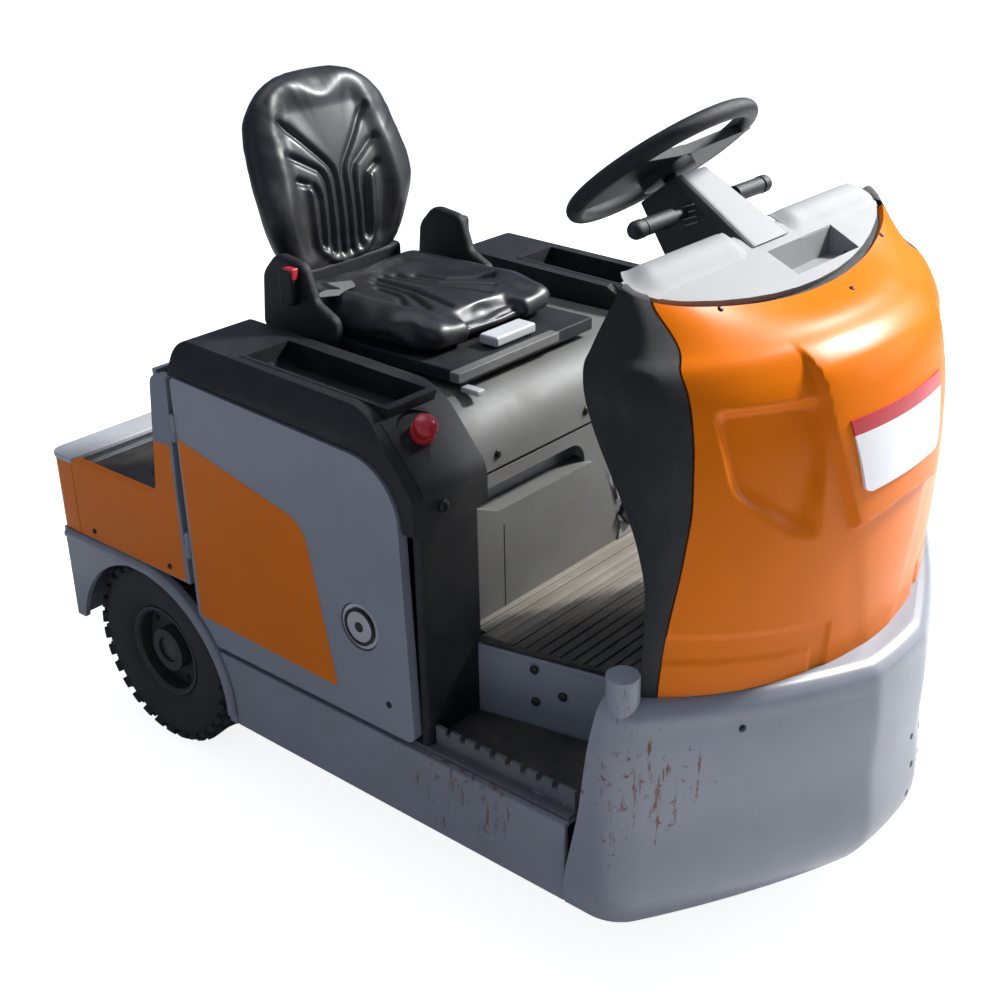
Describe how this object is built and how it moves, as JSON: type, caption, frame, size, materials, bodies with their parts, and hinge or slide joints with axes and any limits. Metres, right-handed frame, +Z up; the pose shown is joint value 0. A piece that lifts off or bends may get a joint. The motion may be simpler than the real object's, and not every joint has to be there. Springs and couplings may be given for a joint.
{
  "type": "electric tow tractor",
  "caption": "Compact three-wheeled electric tow tractor with a driver's seat, side entry footwell, bowed steel bumper, rounded front cowl and a flat load deck over a pin coupling.",
  "frame": {"origin": "centre of the bounding box in plan, at ground level", "axes": "+X forward, +Y to the vehicle's left, +Z up"},
  "size_m": [1.7923, 0.996, 1.3871],
  "materials": {
    "grey_paint": "weathered satin grey paint on steel",
    "orange_paint": "glossy orange paint",
    "black_plastic": "grained black plastic",
    "dark_plastic": "grained dark grey plastic",
    "pale_grey": "pale grey paint",
    "black_rubber": "ribbed rubber mat",
    "tyre_rubber": "tyre rubber",
    "rim_steel": "dark painted steel rim",
    "dark_steel": "dark painted steel",
    "seat_vinyl": "smooth black vinyl",
    "red_plastic": "red plastic",
    "bright_steel": "chromed metal",
    "wheel_plastic": "grained black plastic"
  },
  "bodies": {
    "chassis": {"chassis_frame": "grey_paint", "side_skirts": "grey_paint", "rear_fenders": "grey_paint", "tail_panel": "orange_paint", "deck_rim": "pale_grey", "rear_deck": "grey_paint", "rear_side_panels": "orange_paint", "bulkhead": "grey_paint", "cover_right": "black_plastic", "cover_left": "black_plastic", "stop_button": "red_plastic", "pillar_panels": "black_plastic", "calf_panel": "dark_plastic", "floor_plate": "grey_paint", "rubber_mats": "black_rubber", "entry_steps": "dark_steel", "front_bumper": "grey_paint", "cowl_front": "orange_paint", "cowl_sides": "black_plastic", "dashboard": "dark_plastic", "leg_shield": "black_plastic", "steering_column": "dark_plastic", "pedals": "black_rubber", "battery": "dark_steel", "rear_axle": "dark_steel", "tow_coupling": "dark_steel"},
    "hood": {"hood": "dark_plastic", "seat_base": "dark_plastic", "seat_cushion": "seat_vinyl", "seat_back": "seat_vinyl", "seat_wings": "black_plastic", "belt_parts": "red_plastic"},
    "door_right": {"door_right": "grey_paint", "latch_right": "bright_steel"},
    "door_left": {"door_left": "grey_paint", "latch_left": "bright_steel"},
    "fork": {"front_fork": "dark_steel"},
    "front_wheel": {"front_tyre": "tyre_rubber", "front_rim": "rim_steel"},
    "rear_wheel_right": {"rear_tyre_right": "tyre_rubber", "rear_rim_right": "rim_steel"},
    "rear_wheel_left": {"rear_tyre_left": "tyre_rubber", "rear_rim_left": "rim_steel"},
    "steering_wheel": {"steering_wheel": "wheel_plastic"},
    "tow_pin": {"tow_pin": "bright_steel"}
  },
  "joints": [
    {"name": "front_steer", "type": "hinge", "parent": "chassis", "child": "fork", "pos_m": [0.58, 0, 0.45], "axis": [0, 0, 1], "range_deg": [-75, 75]},
    {"name": "front_wheel_spin", "type": "hinge", "parent": "fork", "child": "front_wheel", "pos_m": [0.58, 0, 0.2075], "axis": [0, 1, 0], "continuous": true},
    {"name": "rear_wheel_right_spin", "type": "hinge", "parent": "chassis", "child": "rear_wheel_right", "pos_m": [-0.54, -0.409, 0.2075], "axis": [0, 1, 0], "continuous": true},
    {"name": "rear_wheel_left_spin", "type": "hinge", "parent": "chassis", "child": "rear_wheel_left", "pos_m": [-0.54, 0.409, 0.2075], "axis": [0, 1, 0], "continuous": true},
    {"name": "steering_wheel_turn", "type": "hinge", "parent": "chassis", "child": "steering_wheel", "pos_m": [0.376, 0, 1.273], "axis": [-0.6157, 0, 0.788], "range_deg": [-450, 450]},
    {"name": "door_right_hinge", "type": "hinge", "parent": "chassis", "child": "door_right", "pos_m": [-0.367, -0.485, 0.6], "axis": [0, 0, -1], "range_deg": [0, 100]},
    {"name": "door_left_hinge", "type": "hinge", "parent": "chassis", "child": "door_left", "pos_m": [-0.367, 0.485, 0.6], "axis": [0, 0, 1], "range_deg": [0, 100]},
    {"name": "hood_lift", "type": "hinge", "parent": "chassis", "child": "hood", "pos_m": [-0.356, 0, 0.882], "axis": [0, -1, 0], "range_deg": [0, 50]},
    {"name": "tow_pin_lift", "type": "slide", "parent": "chassis", "child": "tow_pin", "axis": [0, 0, 1], "range_m": [0, 0.055]}
  ],
  "couplings": [
    {"joint": "steering_wheel_turn", "follows": "front_steer", "ratio": 6}
  ]
}
